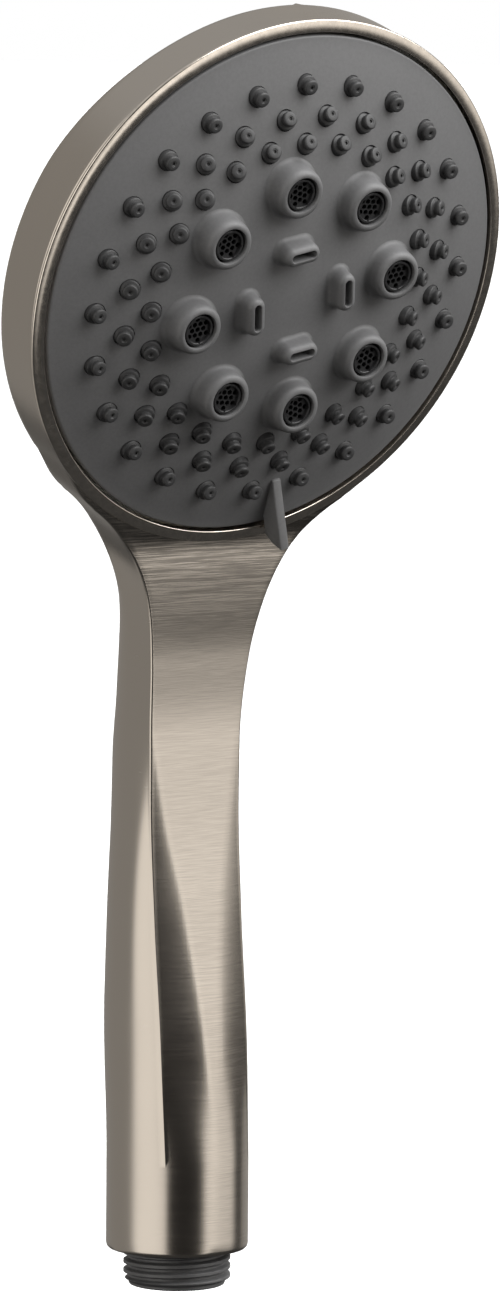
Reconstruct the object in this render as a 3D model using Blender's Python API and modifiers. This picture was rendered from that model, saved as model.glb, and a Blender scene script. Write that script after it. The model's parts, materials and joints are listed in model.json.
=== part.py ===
"""Handheld shower head: one-piece handle and head shell, turning spray face, massage turbine.

The frame's origin is the centre of the inlet's end face, +Z runs up the handle and the
spray leaves towards -Y. Sizes are millimetres here and metres in the scene.
"""
import math

import bmesh
import bpy
from mathutils import Euler, Matrix, Vector

MM = 0.001
GAP = 0.3                 # clearance between touching pieces
ROUND = 40                # sides of the large turned pieces
FINE = 16                 # sides of the small turned pieces

# overall
HEAD_RADIUS = 53.33       # outer edge of the trim ring
HEAD_TILT = 18.9          # spray direction below the horizontal, degrees
HEAD_FOOT_Y = -11.5855    # lowest point of the head's edge, at the top of the handle
HEAD_FOOT_Z = 146.4053
HEAD_CENTRE_Y = round(HEAD_FOOT_Y - HEAD_RADIUS * math.sin(math.radians(HEAD_TILT)), 3)
HEAD_CENTRE_Z = round(HEAD_FOOT_Z + HEAD_RADIUS * math.cos(math.radians(HEAD_TILT)), 3)
SHELL_WALL = 2.4
HEAD_DEPTH = 19.0         # trim ring seat to the back of the head at its centre
HANDLE_RADIUS = 13.9      # round lower end of the handle

# inlet
THREAD_RADIUS = 10.4775
THREAD_PITCH = 1.814
THREAD_DEPTH = 1.0
THREAD_LENGTH = 7.24
INLET_BORE = 6.3
WATERWAY_RADIUS = 4.0
WATERWAY_BORE = 3.0

# spray face
RING_GAP = 0.7            # dark gap between the face and the trim ring
RING_WIDTH = 2.33
FACE_RADIUS = HEAD_RADIUS - RING_WIDTH - RING_GAP
FACE_CROWN = 7.75         # height of the dome over its edge
FACE_SKIN = 2.0
FACE_REST_TURN = 12.5     # the face's turn in the rest pose, degrees
CLICK_STEP = 25.0         # between spray settings, degrees
NOZZLE_RADIUS = 1.35      # at the tip
NOZZLE_BASE = 1.75
NOZZLE_LENGTH = 2.0
NOZZLE_RINGS = (          # ring radius at the surface, outward lean in degrees, turn in steps
    (FACE_RADIUS - 8.7, 0.0, 0.5),
    (FACE_RADIUS - 14.6, 31.0, 0.0),
    (FACE_RADIUS - 19.7, 31.0, 0.5),
)
NOZZLES_PER_RING = 24
AERATOR_COUNT = 8
AERATOR_CIRCLE = 22.6
AERATOR_TOP = FACE_CROWN + 2.45
AERATOR_BORE = 3.5
BOSS_BASE = AERATOR_BORE + 1.5
SLOT_COUNT = 4
SLOT_CIRCLE = 10.3
SLOT_TOP = FACE_CROWN + 3.55
SLOT_LENGTH = 5.4
SLOT_WIDTH = 1.4
TAB_THICKNESS = 1.95

# inside the head, heights along the spray direction from the face's edge plane
MAT_THICKNESS = 1.2
PLATE_BOTTOM = -6.0       # back of the distributor plate
PLATE_THICKNESS = 3.0
DIVERTER_THICKNESS = 2.2
MANIFOLD_FRONT = -9.2
MANIFOLD_THICKNESS = 2.0
OUTLET_CIRCLE = 20.0      # where the water passes from the manifold to the face
DETENT_CIRCLE = 33.0
DETENT_ANGLE = 40.0
TURBINE_RADIUS = 13.0

PALETTE = {               # colour, roughness, metallic
    "nickel": ((0.36, 0.33, 0.29), 0.32, 1.0),
    "face_grey": ((0.085, 0.085, 0.085), 0.45, 0.0),
    "rubber": ((0.02, 0.02, 0.021), 0.6, 0.0),
    "white_plastic": ((0.75, 0.75, 0.72), 0.5, 0.0),
    "steel": ((0.6, 0.6, 0.6), 0.3, 1.0),
    "seal": ((0.03, 0.03, 0.03), 0.7, 0.0),
}


def clearScene():
    for thing in list(bpy.data.objects):
        bpy.data.objects.remove(thing, do_unlink=True)


def makeCollection(name):
    found = bpy.data.collections.get(name) or bpy.data.collections.new(name)
    if found.name not in bpy.context.scene.collection.children:
        bpy.context.scene.collection.children.link(found)
    return found


def makeMaterial(name):
    colour, roughness, metallic = PALETTE[name]
    material = bpy.data.materials.new(name)
    material.use_nodes = True
    shader = material.node_tree.nodes["Principled BSDF"]
    shader.inputs["Base Color"].default_value = (*colour, 1.0)
    shader.inputs["Roughness"].default_value = roughness
    shader.inputs["Metallic"].default_value = metallic
    return material


clearScene()
parts = makeCollection("handheld_shower_head")
cutters = makeCollection("cutters")
materials = {name: makeMaterial(name) for name in PALETTE}


def makeFrame(name, matrix):
    empty = bpy.data.objects.new(name, None)
    parts.objects.link(empty)
    empty.matrix_world = matrix
    return empty


tilt = math.radians(90 + HEAD_TILT)
headCentre = Vector((0, HEAD_CENTRE_Y, HEAD_CENTRE_Z)) * MM
headPlace = Matrix.Translation(headCentre) @ Euler((tilt, 0, 0)).to_matrix().to_4x4()
facePlace = headPlace @ Matrix.Rotation(math.radians(FACE_REST_TURN), 4, "Z")
headFrame = makeFrame("head_frame", headPlace)
faceFrame = makeFrame("face_frame", facePlace)
handleFrame = makeFrame("handle_frame", Matrix.Identity(4))


def addObject(name, mesh, frame, slot=None, offset=None):
    """Link a mesh in its frame. Without a slot it is a cutter."""
    thing = bpy.data.objects.new(name, mesh)
    (parts if slot else cutters).objects.link(thing)
    thing.parent = frame
    if offset is not None:
        thing.matrix_local = offset
    if slot:
        mesh.materials.append(materials[slot])
    else:
        thing.hide_render = True
        thing.display_type = "WIRE"
    return thing


def finishMesh(bm, name, sharp=35):
    bmesh.ops.recalc_face_normals(bm, faces=bm.faces)
    mesh = bpy.data.meshes.new(name)
    bm.to_mesh(mesh)
    bm.free()
    mesh.shade_smooth()
    mesh.set_sharp_from_angle(angle=math.radians(sharp))
    return mesh


def turned(name, profile, frame, slot=None, offset=None, sides=ROUND, closed=True):
    """A profile of (radius, height) points that runs down the outer side, turned about local Z."""
    count = len(profile)
    edges = [(i, i + 1) for i in range(count - 1)]
    if closed:
        edges.append((count - 1, 0))
    mesh = bpy.data.meshes.new(name)
    mesh.from_pydata([(r * MM, 0, h * MM) for r, h in profile], edges, [])
    thing = addObject(name, mesh, frame, slot, offset)
    screw = thing.modifiers.new("turn", "SCREW")
    screw.axis = "Z"
    screw.steps = sides
    screw.render_steps = sides
    screw.use_merge_vertices = True
    screw.merge_threshold = 0.00001
    screw.use_smooth_shade = False
    return thing


def disc(name, radius, bottom, top, frame, slot=None, offset=None, sides=FINE):
    return turned(name, [(0, top), (radius, top), (radius, bottom), (0, bottom)], frame, slot, offset,
                  sides, closed=False)


def ring(name, inner, outer, bottom, top, frame, slot=None, offset=None, sides=FINE):
    return turned(name, [(inner, top), (outer, top), (outer, bottom), (inner, bottom)], frame, slot,
                  offset, sides)


def sealRing(name, middle, thickness, height, frame, offset=None):
    """An O-ring: six-sided section turned about the axis."""
    points = [(middle + thickness * math.cos(a), height + thickness * math.sin(a))
              for a in (math.radians(90 - 60 * i) for i in range(6))]
    return turned(name, points, frame, "seal", offset, FINE)


def boolean(thing, other, operation="DIFFERENCE"):
    step = thing.modifiers.new(operation.lower(), "BOOLEAN")
    step.operation = operation
    step.object = other
    step.solver = "EXACT"
    return thing


def cones(name, places, bottomRadius, topRadius, bottom, top, frame, slot=None, sides=6):
    """Many cones in one mesh. Each place is a matrix in millimetres."""
    bm = bmesh.new()
    middle = Matrix.Translation((0, 0, (bottom + top) / 2))
    for place in places:
        bmesh.ops.create_cone(bm, cap_ends=True, segments=sides, radius1=bottomRadius, radius2=topRadius,
                              depth=top - bottom, matrix=Matrix.Scale(MM, 4) @ place @ middle)
    return addObject(name, finishMesh(bm, name), frame, slot)


def polar(radius, angle, height=0.0, lean=0.0):
    """A place on the face at a radius and an angle in degrees, leaning outwards."""
    return (Matrix.Rotation(math.radians(angle), 4, "Z") @ Matrix.Translation((radius, 0, height))
            @ Matrix.Rotation(math.radians(lean), 4, "Y"))


def metres(place):
    moved = place.copy()
    moved.translation = place.translation * MM
    return moved


def dome(radius):
    """Height of the face's outer surface over its edge plane."""
    sphere = (FACE_RADIUS ** 2 + FACE_CROWN ** 2) / (2 * FACE_CROWN)
    return math.sqrt(sphere ** 2 - radius ** 2) - (sphere - FACE_CROWN)


def aroundFace(count, start=90.0):
    return [start + 360.0 * i / count for i in range(count)]


# shell: where things sit in the head, heights along the spray direction
RIM_SEAT = -1.1           # the shell's front rim, behind the trim ring
RIM_OUTER = round(HEAD_RADIUS - 0.23, 3)
RIM_INNER = round(RIM_OUTER - 1.2, 3)
BACK_RADIUS = HEAD_RADIUS - 0.73
CARTRIDGE_SEAT = -8.9     # the shoulder that the manifold rests on
SHOULDER = 2.3            # width of that shoulder
CARTRIDGE_RADIUS = round(RIM_INNER - SHOULDER, 3)
DIVERTER_RADIUS = CARTRIDGE_RADIUS - 3.1
BACK_EDGE = -12.3         # where the side wall meets the back
NECK_TOP = 153.3          # the handle's flare ends inside the head
NECK_HALF = 10.4          # half width of the neck without its flare
GRIP_LOW = 25.0           # the handle is round below this height
RIDGE_START = 150.4       # above this the back of the handle runs on as a low ridge over the head
RIDGE_HEIGHT = -18.2
RIDGE_WIDTH = 38.0        # half width of the ridge where it leaves the rim
NECK_FRONT = RIM_SEAT - 0.1
FILLET_REACH = 1.8        # how far the flare's edge stands outside the rim, and over what stretch
FILLET_LOW = 5.83 - HEAD_RADIUS
FILLET_HIGH = 16.33 - HEAD_RADIUS

GRIP_WIDTH = ((25, 9.83), (49, 10.3), (96, 10.5), (108, 10.4))
GRIP_SIDE = ((25, 13.9), (49, 13.6), (72.7, 12.8), (96, 11.4), (112, 10.6))
GRIP_FRONT = ((25, 9.83), (49, 8.6), (72.7, 6.5), (96, 5.2), (108, 5.3), (123.3, 6.8), (134.9, 8.8),
              (142.7, 10.2), (146.6, 10.38), (150.4, 11.3))
GRIP_BULGE = ((25, 4.07), (57, 3.0), (80, 2.1), (95, 1.3), (107, 0.7), (125, 0.2), (142, 0.03))
GRIP_BACK = ((90, 13.9), (104, 14.2), (115.5, 12.6), (131, 10.1), (142.7, 8.2), (150.4, 6.2), (156, 4.4))


def backDome(radius):
    """The back's outer surface: a shallow dome over the side wall's edge."""
    return BACK_EDGE - (HEAD_DEPTH + BACK_EDGE) * (1 - (radius / BACK_RADIUS) ** 2)


def interpolate(points, value):
    """A gently eased curve through (position, value) points."""
    if value <= points[0][0]:
        return points[0][1]
    for (a, low), (b, high) in zip(points, points[1:]):
        if value <= b:
            t = (value - a) / (b - a)
            return low + (high - low) * (0.4 * t * t * (3 - 2 * t) + 0.6 * t)
    return points[-1][1]


def smooth(low, high, value):
    t = min(1.0, max(0.0, (value - low) / (high - low)))
    return t * t * (3 - 2 * t)


def flare(z):
    """How far the handle has spread at a height, on its way into the head."""
    return 10.0 * 2.0 ** ((z - 146.6) / 7.8)


def planeDepth(z, height):
    """Distance in front of the axis of a plane parallel to the face's edge plane."""
    lean = math.radians(HEAD_TILT)
    return -HEAD_CENTRE_Y + (height + math.sin(lean) * (z - HEAD_CENTRE_Z)) / math.cos(lean)


def rowLean(z):
    """Rows lie flat along the grip and turn square to the face's plane through the neck."""
    return math.tan(math.radians(HEAD_TILT)) * smooth(96, 140, z)


def rowDepth(z, front, lean, height):
    """Where a row that starts at the corner reaches a height over the face's edge plane."""
    tilt = math.radians(HEAD_TILT)
    start = math.cos(tilt) * (front + HEAD_CENTRE_Y) - math.sin(tilt) * (z - HEAD_CENTRE_Z)
    return -front + (start - height) / (math.cos(tilt) + math.sin(tilt) * lean)


def sectionSizes(z):
    """Corner half width, side half width, corner depth, front bulge and back depth."""
    grow = HANDLE_RADIUS / 13.9
    if z <= NECK_TOP:
        corner = interpolate(GRIP_WIDTH, z) * grow + flare(z)
        side = interpolate(GRIP_SIDE, z) * grow + flare(z)
        # the neck's front runs into the head, so there its depth follows the head and not the grip
        front = interpolate(GRIP_FRONT, z) * (1 + (grow - 1) * (1 - smooth(108, 146, z)))
        bulge = interpolate(GRIP_BULGE, z) * grow
    else:
        front = planeDepth(z, NECK_FRONT)
        tilt = math.radians(HEAD_TILT)
        up = (z - HEAD_CENTRE_Z + NECK_FRONT * math.sin(tilt)) / math.cos(tilt)
        reach = RIM_OUTER + FILLET_REACH * (1 - smooth(FILLET_LOW, FILLET_HIGH, up))
        ridge = RIDGE_WIDTH * (1 - 0.8 * (z - NECK_TOP) / (HEAD_CENTRE_Z - NECK_TOP))
        corner = side = min(NECK_HALF * grow + flare(z), math.sqrt(reach ** 2 - up ** 2), ridge)
        bulge = 0.0
    lean = rowLean(z)
    if z <= RIDGE_START:
        back = interpolate(GRIP_BACK, z + lean * (front + 8.0)) * grow
    else:
        back = rowDepth(z, front, lean, RIDGE_HEIGHT)
    return corner, side, front, bulge, back


def handleRow(z, inset=0.0):
    """A section through the handle: flat or bulged front between two corners, then sides and back."""
    corner, side, front, bulge, back = sectionSizes(z)
    roundness = min(1.0, bulge / (0.2929 * HANDLE_RADIUS))
    diagonal = inset * (1 - 0.2929 * roundness)
    corner, side, front, back = corner - diagonal, side - inset, front - diagonal, back - inset
    bulge *= 1 - inset / HANDLE_RADIUS
    square = 2.0 + 0.5 * smooth(GRIP_LOW, 57, z) - 0.95 * smooth(115, RIDGE_START, z)
    lean = rowLean(z)
    sideEnd = (rowDepth(z, front, lean, BACK_EDGE) - inset) * smooth(130, RIDGE_START, z)
    row = []
    for i in range(6):
        t = -1 + i / 3
        row.append((corner * t, -front - bulge * (math.sqrt(1 - t * t / 2) - 0.7071) / 0.2929, z))
    flank = []
    for i in range(3):
        u = 1 - i / 3
        out = math.sqrt(side ** 2 - (side ** 2 - corner ** 2) * u * u)
        flank.append((out, sideEnd - (front + sideEnd) * u, z))
    row += flank
    steps = 12
    for i in range(steps + 1):
        a = math.pi * i / steps
        c, s = math.cos(a), math.sin(a)
        across = math.copysign(abs(c) ** (2 / square), c) * side
        row.append((across, sideEnd + s ** (2 / square) * (back - sideEnd), z))
    row += [(-x, y, z) for x, y, z in reversed(flank[1:])]
    return [(x, y, z + lean * (y + front)) for x, y, z in row]


def loft(name, rows, frame, slot=None):
    """Skin closed rows of equal length and cap both ends."""
    bm = bmesh.new()
    rings = [[bm.verts.new(Vector(p) * MM) for p in row] for row in rows]
    count = len(rings[0])
    for lower, upper in zip(rings, rings[1:]):
        for i in range(count):
            j = (i + 1) % count
            bm.faces.new((lower[i], lower[j], upper[j], upper[i]))
    bm.faces.new(list(reversed(rings[0])))
    bm.faces.new(rings[-1])
    return addObject(name, finishMesh(bm, name), frame, slot)


def makeShell():
    """The handle and the head's back in one hollow moulding."""
    steps = (0, 0.3, 0.6, 0.8, 0.92, 0.98)
    profile = [(0, RIM_SEAT), (RIM_OUTER, RIM_SEAT), (BACK_RADIUS + 0.1, BACK_EDGE + 1.5)]
    profile += [(BACK_RADIUS * s, backDome(BACK_RADIUS * s)) for s in reversed(steps)]
    cup = turned("head_cup", profile, headFrame, closed=False, sides=48)
    floor = [(BACK_RADIUS * s, backDome(BACK_RADIUS * s) + SHELL_WALL) for s in (0.9, 0.6, 0.3, 0)]
    profile = [(0, 2), (RIM_INNER, 2), (RIM_INNER, CARTRIDGE_SEAT), (CARTRIDGE_RADIUS, CARTRIDGE_SEAT)]
    profile.append((CARTRIDGE_RADIUS, floor[0][1] + 0.8))
    hollow = turned("head_hollow", profile + floor, headFrame, closed=False, sides=48)
    heights = [THREAD_LENGTH + 1, 16, GRIP_LOW, 41, 57, 72, 88, 100, 108, 115, 122, 129, 135, 140, 144]
    heights += [148, 151, NECK_TOP, 154.4, 156, 157.5, 160.3, 165, 172, 180]
    low = THREAD_LENGTH
    rows = [handleRow(low, 1.0), handleRow(low + 0.3, 0.3)]
    rows = [[(x, y, low + 0.3 * n) for x, y, z in row] for n, row in enumerate(rows)]
    rows += [handleRow(z) for z in heights] + [handleRow(HEAD_CENTRE_Z - 6)]
    inner = [[(x, y, low - 1) for x, y, z in handleRow(low, SHELL_WALL)]]
    inner += [handleRow(z, SHELL_WALL) for z in heights[1:]]
    shell = loft("body_shell", rows, handleFrame, "nickel")
    boolean(shell, cup, "UNION")
    boolean(hollow, loft("handle_bore", inner, handleFrame), "UNION")
    boolean(shell, hollow)
    return shell


def makeTrimRing():
    """A thin bezel round the face, with a skirt that snaps into the shell."""
    inner = FACE_RADIUS + RING_GAP
    skirt = RIM_INNER - GAP
    seat = RIM_SEAT + GAP
    profile = [(inner + 0.35, 0.2), (HEAD_RADIUS - 0.35, 0.1), (HEAD_RADIUS, -0.34), (HEAD_RADIUS - 0.05, seat),
               (skirt, seat), (skirt, -3.3), (inner, -3.3), (inner, -0.1)]
    return turned("trim_ring", profile, headFrame, "nickel", sides=48)


# handle parts
CONNECTOR_TOP = 25.0
CONNECTOR_RADIUS = HANDLE_RADIUS - SHELL_WALL - GAP - 0.2
TUBE_SEAL_HEIGHT = 21.8
SOCKET_BOTTOM = 17.0
SOCKET_RADIUS = WATERWAY_RADIUS + GAP


def makeConnector():
    """The male pipe thread, its bore for the screen and regulator, and the tube's socket."""
    crest = THREAD_RADIUS
    root = crest - THREAD_DEPTH
    low = 1.35
    profile = [(SOCKET_RADIUS, CONNECTOR_TOP), (CONNECTOR_RADIUS, CONNECTOR_TOP),
               (CONNECTOR_RADIUS, THREAD_LENGTH + 0.3), (root, THREAD_LENGTH + 0.3)]
    turns = int((THREAD_LENGTH - low) / THREAD_PITCH)
    for i in reversed(range(turns)):
        base = low + i * THREAD_PITCH
        profile += [(root, base + 0.95 * THREAD_PITCH), (crest, base + 0.6 * THREAD_PITCH),
                    (crest, base + 0.45 * THREAD_PITCH), (root, base + 0.1 * THREAD_PITCH)]
    profile += [(root, 0.5), (root - 0.4, 0), (INLET_BORE, 0), (INLET_BORE, 12.0),
                (WATERWAY_BORE, 14.0), (WATERWAY_BORE, SOCKET_BOTTOM), (SOCKET_RADIUS, SOCKET_BOTTOM)]
    connector = turned("inlet_connector", profile, handleFrame, "face_grey", sides=28)
    groove = ring("connector_groove", SOCKET_RADIUS - 1, SOCKET_RADIUS + 1.7, TUBE_SEAL_HEIGHT - 1.0,
                  TUBE_SEAL_HEIGHT + 1.0, handleFrame)
    return boolean(connector, groove)


def gridPlaces(pitch, reach, height=0.0):
    """Places on a hexagonal grid inside a circle."""
    places = []
    span = int(reach / pitch) + 2
    for row in range(-span, span + 1):
        for column in range(-span, span + 1):
            x = (column + 0.5 * (row % 2)) * pitch
            y = row * pitch * 0.866
            if math.hypot(x, y) <= reach:
                places.append(Matrix.Translation((x, y, height)))
    return places


def makeInletParts():
    screen = disc("inlet_screen", INLET_BORE - GAP, 5.0, 5.8, handleFrame, "steel")
    boolean(screen, cones("screen_holes", gridPlaces(2.6, 4.6, 5.4), 0.9, 0.9, -1, 1, handleFrame))
    regulator = disc("flow_regulator", INLET_BORE - GAP, 8.0, 11.5, handleFrame, "white_plastic")
    holes = [polar(3.4, angle, 9.75) for angle in aroundFace(6)]
    boolean(regulator, cones("regulator_holes", holes, 1.0, 1.0, -3, 3, handleFrame))
    sealRing("tube_o_ring", WATERWAY_RADIUS + 0.95, 0.6, TUBE_SEAL_HEIGHT, handleFrame)


def makePipe(name, points, radius, frame, slot=None, resolution=3):
    """A bent rod of round section through (x, y, z) points, as a closed mesh."""
    curve = bpy.data.curves.new(name, "CURVE")
    curve.dimensions = "3D"
    curve.bevel_depth = radius * MM
    curve.bevel_resolution = resolution
    curve.use_fill_caps = True
    spline = curve.splines.new("POLY")
    spline.points.add(len(points) - 1)
    for point, place in zip(spline.points, points):
        point.co = (*(Vector(place) * MM), 1)
    rod = bpy.data.objects.new(name + "_line", curve)
    parts.objects.link(rod)
    bpy.context.view_layer.update()
    mesh = bpy.data.meshes.new_from_object(rod.evaluated_get(bpy.context.evaluated_depsgraph_get()))
    bpy.data.objects.remove(rod)
    bm = bmesh.new()
    bm.from_mesh(mesh)
    bmesh.ops.remove_doubles(bm, verts=bm.verts, dist=0.000001)
    return addObject(name, finishMesh(bm, name), frame, slot)


# the neck of the manifold, along the face's plane towards the handle
NECK_HEIGHT = -9.3
NECK_RADIUS = WATERWAY_RADIUS + GAP + 1.0
NECK_END = round(HEAD_RADIUS + 6.67, 3)


DUCT_HEIGHT = -12.2
DUCT_START = round(HEAD_RADIUS - 1.13, 3)
HUB_BACK = -13.4
SLEEVE_RADIUS = 3.0
PLUNGER_RADIUS = 1.3


def headPoint(across, up, height):
    return headPlace @ (Vector((across, up, height)) * MM) / MM


def tubePoints(early, late):
    """The waterway's middle line: up the handle, then straight into the manifold's neck."""
    anchors = [Vector((0, 0, SOCKET_BOTTOM + 1 - early)), Vector((0, 0, CONNECTOR_TOP + 2)), Vector((0, 1.5, 60)),
               Vector((0, 3.0, 100)), Vector((0, 3.3, 118)), headPoint(0, -NECK_END - 9, NECK_HEIGHT),
               headPoint(0, -NECK_END - 1, NECK_HEIGHT), headPoint(0, -NECK_END + 5 + late, NECK_HEIGHT)]
    line = [anchors[0], anchors[1]]
    for i in range(1, len(anchors) - 3):
        p0, p1, p2, p3 = anchors[i - 1:i + 3]
        for n in range(1, 5):
            t = n / 4
            line.append(0.5 * (2 * p1 + (p2 - p0) * t + (2 * p0 - 5 * p1 + 4 * p2 - p3) * t * t
                               + (3 * p1 - p0 - 3 * p2 + p3) * t ** 3))
    return line + anchors[-2:]


def makeTube():
    tube = makePipe("waterway_tube", tubePoints(0, 0), WATERWAY_RADIUS, handleFrame, "white_plastic")
    return boolean(tube, makePipe("tube_bore", tubePoints(2, 2), WATERWAY_BORE, handleFrame))


def alongFace(start, height):
    """A place whose Z runs from the neck towards the face's centre."""
    return Matrix.Translation((0, start, height)) @ Matrix.Rotation(math.radians(-90), 4, "X")


def makeManifold():
    """Fixed plate behind the turning face: water comes in at the neck, out at one port."""
    back = MANIFOLD_FRONT - MANIFOLD_THICKNESS
    rim = RIM_INNER - GAP
    lip = rim - SHOULDER
    seat = CARTRIDGE_SEAT + GAP
    profile = [(0, MANIFOLD_FRONT), (3.8, MANIFOLD_FRONT), (3.8, -10.0), (5.1, -10.0), (5.1, MANIFOLD_FRONT),
               (lip, MANIFOLD_FRONT), (lip, -3.7), (rim, -3.7), (rim, seat),
               (CARTRIDGE_RADIUS - GAP, seat), (CARTRIDGE_RADIUS - 0.7, seat - 1.0),
               (CARTRIDGE_RADIUS - 3.1, back + 0.6), (CARTRIDGE_RADIUS - 5.6, back), (0, back)]
    manifold = turned("head_manifold", profile, headFrame, "white_plastic", closed=False)
    lead = metres(alongFace(-NECK_END, NECK_HEIGHT))
    rib = metres(alongFace(-DUCT_START, DUCT_HEIGHT))
    outlet = metres(polar(OUTLET_CIRCLE, -90))
    detent = metres(polar(DETENT_CIRCLE, DETENT_ANGLE))
    inside = back + 0.5
    neck = disc("manifold_neck", NECK_RADIUS, 0, NECK_END - lip - 0.6, headFrame, offset=lead)
    duct = disc("manifold_duct", 2.8, 0, DUCT_START - OUTLET_CIRCLE + 3.5, headFrame, offset=rib)
    boolean(manifold, neck, "UNION")
    boolean(manifold, duct, "UNION")
    boolean(manifold, disc("manifold_hub", 5.5, HUB_BACK, inside, headFrame), "UNION")
    boolean(manifold, disc("manifold_outlet", 5.0, -13.6, inside, headFrame, offset=outlet), "UNION")
    boolean(manifold, disc("detent_boss", 3.2, -13.0, inside, headFrame, offset=detent), "UNION")
    boolean(manifold, disc("detent_way", PLUNGER_RADIUS + GAP, -12.4, -8, headFrame, offset=detent))
    boolean(manifold, disc("outlet_way", 3.5, -12.6, -8, headFrame, offset=outlet))
    boolean(manifold, disc("neck_socket", SOCKET_RADIUS, -1, 7.0, headFrame, offset=lead))
    boolean(manifold, disc("duct_way", 1.7, -1.6, DUCT_START - OUTLET_CIRCLE - 1.1, headFrame, offset=rib,
                           sides=14))
    boolean(manifold, disc("pivot_way", SLEEVE_RADIUS + GAP, -15, -8, headFrame))
    return manifold


def makeCoil(name, radius, wire, bottom, top, turns, place, frame):
    """A compression spring about its place's axis."""
    steps = 10
    points = []
    for i in range(turns * steps + 1):
        a = 2 * math.pi * i / steps
        height = bottom + (top - bottom) * i / (turns * steps)
        points.append(place @ Vector((radius * math.cos(a), radius * math.sin(a), height)))
    return makePipe(name, points, wire, frame, "steel", 2)


def makeManifoldParts():
    """The outlet's sprung seal, the pivot's ring and the detent that clicks the face round."""
    outlet = polar(OUTLET_CIRCLE, -90)
    diverterBack = PLATE_BOTTOM - GAP - DIVERTER_THICKNESS
    ring("port_seal", 2.0, 3.2, -10.6, diverterBack - GAP, headFrame, "seal", metres(outlet))
    makeCoil("port_seal_spring", 2.6, 0.2, -12.25, -11.1, 2, outlet, headFrame)
    sealRing("pivot_o_ring", 4.45, 0.42, -9.28, headFrame)
    detent = polar(DETENT_CIRCLE, DETENT_ANGLE)
    tip = diverterBack - GAP
    turned("detent_plunger", [(0, tip), (0.6, tip - 0.1), (PLUNGER_RADIUS, tip - 0.8), (PLUNGER_RADIUS, -10.9),
                              (0, -10.9)], headFrame, "white_plastic", metres(detent), 16, closed=False)
    makeCoil("detent_spring", 1.0, 0.15, -12.15, -11.3, 2, detent, headFrame)


# spray face
def makeNozzleMat():
    """The rubber mat: an annulus under the face with every nozzle standing through it."""
    low, high = FACE_RADIUS - 22.5, FACE_RADIUS - 5.3
    outer = [(low + (high - low) * n / 3, 0) for n in range(4)]
    outer = [(r, dome(r) - FACE_SKIN - GAP) for r, h in outer]
    inner = [(r, h - MAT_THICKNESS) for r, h in reversed(outer)]
    mat = turned("nozzle_mat", outer + inner, faceFrame, "rubber")
    places = []
    for radius, lean, turn in NOZZLE_RINGS:
        for angle in aroundFace(NOZZLES_PER_RING, 90 + turn * 360 / NOZZLES_PER_RING):
            places.append(polar(radius, angle, dome(radius), lean))
    root = -(FACE_SKIN + GAP + 0.4)
    bodies = cones("nozzle_bodies", places, NOZZLE_BASE, NOZZLE_RADIUS, root, NOZZLE_LENGTH, faceFrame)
    boolean(mat, bodies, "UNION")
    return mat, places


def racetrack(name, length, width, bottom, top, places, frame):
    """Blocks with round ends, long in local Y, one for each place."""
    straight = (length - width) / 2
    bm = bmesh.new()
    for place in places:
        rings = []
        for height in (bottom, top):
            row = []
            for i in range(12):
                a = math.radians(-75 + 30 * i)
                shift = straight if math.sin(a) > 0 else -straight
                point = Vector((width / 2 * math.cos(a), width / 2 * math.sin(a) + shift, height))
                row.append(bm.verts.new(place @ point * MM))
            rings.append(row)
        for i in range(12):
            j = (i + 1) % 12
            bm.faces.new((rings[0][i], rings[0][j], rings[1][j], rings[1][i]))
        bm.faces.new(list(reversed(rings[0])))
        bm.faces.new(rings[1])
    return addObject(name, finishMesh(bm, name), frame)


PORT_CIRCLES = (36.0, 23.0, 12.5, 36.0)
# the four ports stand over the manifold's outlet in turn, one for each click
FACE_PORT_START = -90 - FACE_REST_TURN - CLICK_STEP
POST_ANGLES = aroundFace(4, 112.5)
POST_RADIUS = 2.4
SCREW_RADIUS = 1.1
AXLE_RADIUS = 1.1
PIVOT_RADIUS = 1.6
FACE_SKIRT = 2.0
CHAMBER_WALLS = (AERATOR_CIRCLE - 6.1, AERATOR_CIRCLE + 4.3, FACE_RADIUS - 3.6)   # middle radii
WALL_THICKNESS = 1.0


def makeTab():
    """The selector fin: from the dome's edge out over the trim ring."""
    back = FACE_RADIUS - 10.3
    outline = ((back, dome(back) - 0.6), (back + 0.4, 3.3), (HEAD_RADIUS + 0.67, 6.7), (HEAD_RADIUS - 0.63, 0.9),
               (FACE_RADIUS - 1.0, 0.9), (FACE_RADIUS - 1.7, -0.6))
    bm = bmesh.new()
    sides = []
    for x in (-TAB_THICKNESS / 2, TAB_THICKNESS / 2):
        sides.append([bm.verts.new(Vector((x, -r, h)) * MM) for r, h in outline])
    for i in range(len(outline)):
        j = (i + 1) % len(outline)
        bm.faces.new((sides[0][i], sides[0][j], sides[1][j], sides[1][i]))
    bm.faces.new(sides[0])
    bm.faces.new(list(reversed(sides[1])))
    return addObject("selector_tab", finishMesh(bm, "selector_tab"), faceFrame)


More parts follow.
